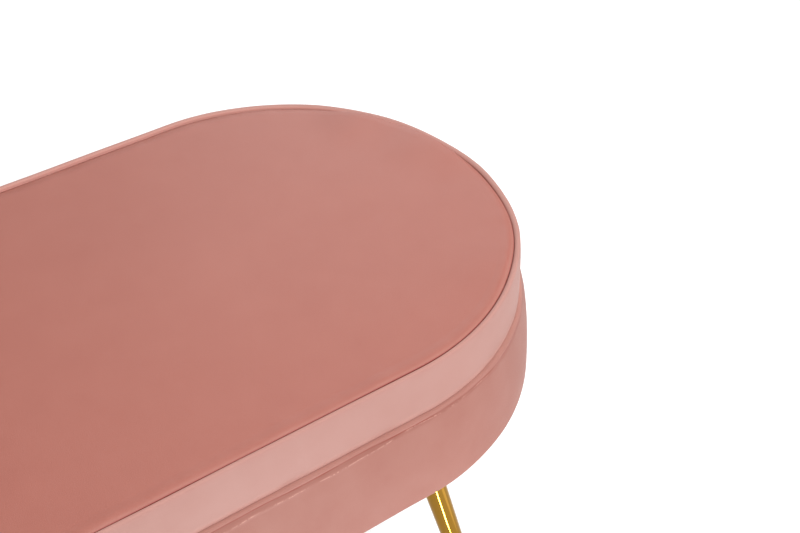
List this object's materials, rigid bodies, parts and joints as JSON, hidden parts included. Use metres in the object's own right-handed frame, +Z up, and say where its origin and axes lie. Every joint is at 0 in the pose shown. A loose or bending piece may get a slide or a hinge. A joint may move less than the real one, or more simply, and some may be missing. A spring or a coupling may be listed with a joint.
{
  "type": "pouf",
  "caption": "Stadium-shaped upholstered pouf: crowned velvet seat cushion on a wider, flared, padded base tier with splayed tapered metal legs.",
  "frame": {"origin": "on the floor under the middle of the pouf", "axes": "+X along the length, +Y from front to rear, +Z up"},
  "size_m": [1, 0.4116, 0.428],
  "materials": {
    "velvet_top": "dusty rose velvet, short pile",
    "velvet_side": "dusty rose velvet, short pile, nap across",
    "velvet_strip": "dusty rose velvet, short pile",
    "wadding": "white polyester wadding",
    "foam": "open-cell upholstery foam",
    "plywood": "unfinished birch plywood",
    "softwood": "planed softwood",
    "hardboard": "smooth bent hardboard",
    "dust_cloth": "black non-woven cloth",
    "gold_metal": "polished gold plating on steel tube",
    "plate_metal": "gold plating on steel plate",
    "glide_plastic": "black moulded polyethylene",
    "zinc_steel": "bright zinc plating"
  },
  "bodies": {
    "root": {"seat_top_panel": "velvet_top", "seat_boxing_band": "velvet_side", "base_side_band": "velvet_side", "base_ledge_strip": "velvet_strip", "seat_wadding": "wadding", "seat_foam": "foam", "base_foam_wrap": "foam", "cushion_board": "plywood", "base_bottom_board": "plywood", "base_top_board": "plywood", "base_rib_left": "softwood", "base_rib_centre": "softwood", "base_rib_right": "softwood", "base_end_rib_left": "softwood", "base_end_rib_right": "softwood", "wall_strip_front": "hardboard", "wall_strip_rear": "hardboard", "wall_strip_left": "hardboard", "wall_strip_right": "hardboard", "dust_cover": "dust_cloth", "leg_front_left": "gold_metal", "leg_front_right": "gold_metal", "leg_rear_left": "gold_metal", "leg_rear_right": "gold_metal", "leg_plate_front_left": "plate_metal", "leg_plate_front_right": "plate_metal", "leg_plate_rear_left": "plate_metal", "leg_plate_rear_right": "plate_metal", "glide_front_left": "glide_plastic", "glide_front_right": "glide_plastic", "glide_rear_left": "glide_plastic", "glide_rear_right": "glide_plastic", "leg_bolts": "zinc_steel", "t_nuts": "zinc_steel", "frame_screws": "zinc_steel", "cushion_screws": "zinc_steel"}
  },
  "joints": []
}
